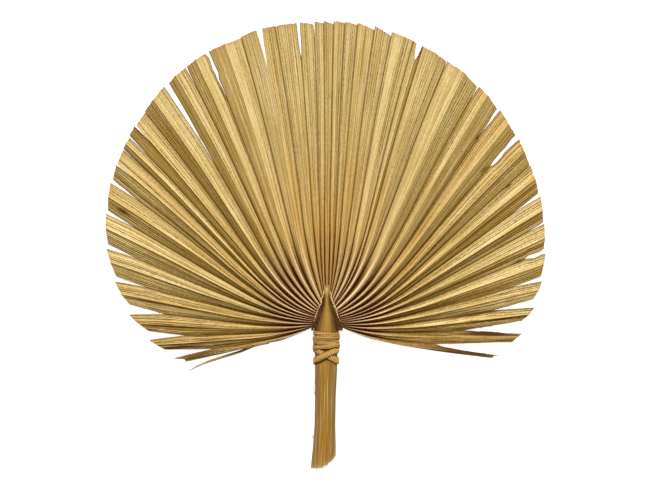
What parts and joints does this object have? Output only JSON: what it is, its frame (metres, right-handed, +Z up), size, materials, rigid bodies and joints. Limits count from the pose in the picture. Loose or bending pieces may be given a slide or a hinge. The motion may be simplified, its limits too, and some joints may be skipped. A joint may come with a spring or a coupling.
{
  "type": "dried fan palm leaf",
  "caption": "Dried fan palm leaf lying flat, its pleated blade trimmed round with slit finger ends, on a short cut stalk with a split-leaf lashing wound below the blade.",
  "frame": {"origin": "middle of the leaf's outline, on the surface that it lies on", "axes": "+Y from the cut end of the stalk to the top of the blade, +X to the right across the blade, +Z up out of its ribbed underside, which faces up"},
  "size_m": [0.3603, 0.3647, 0.0146],
  "materials": {
    "dry_leaf": "dry straw-coloured palm leaf, satin, ribbed lengthwise",
    "lashing_strip": "dry split-leaf strip, matt, fine lengthwise fibres"
  },
  "bodies": {
    "root": {"palm_leaf": "dry_leaf", "lashing": "lashing_strip"}
  },
  "joints": []
}
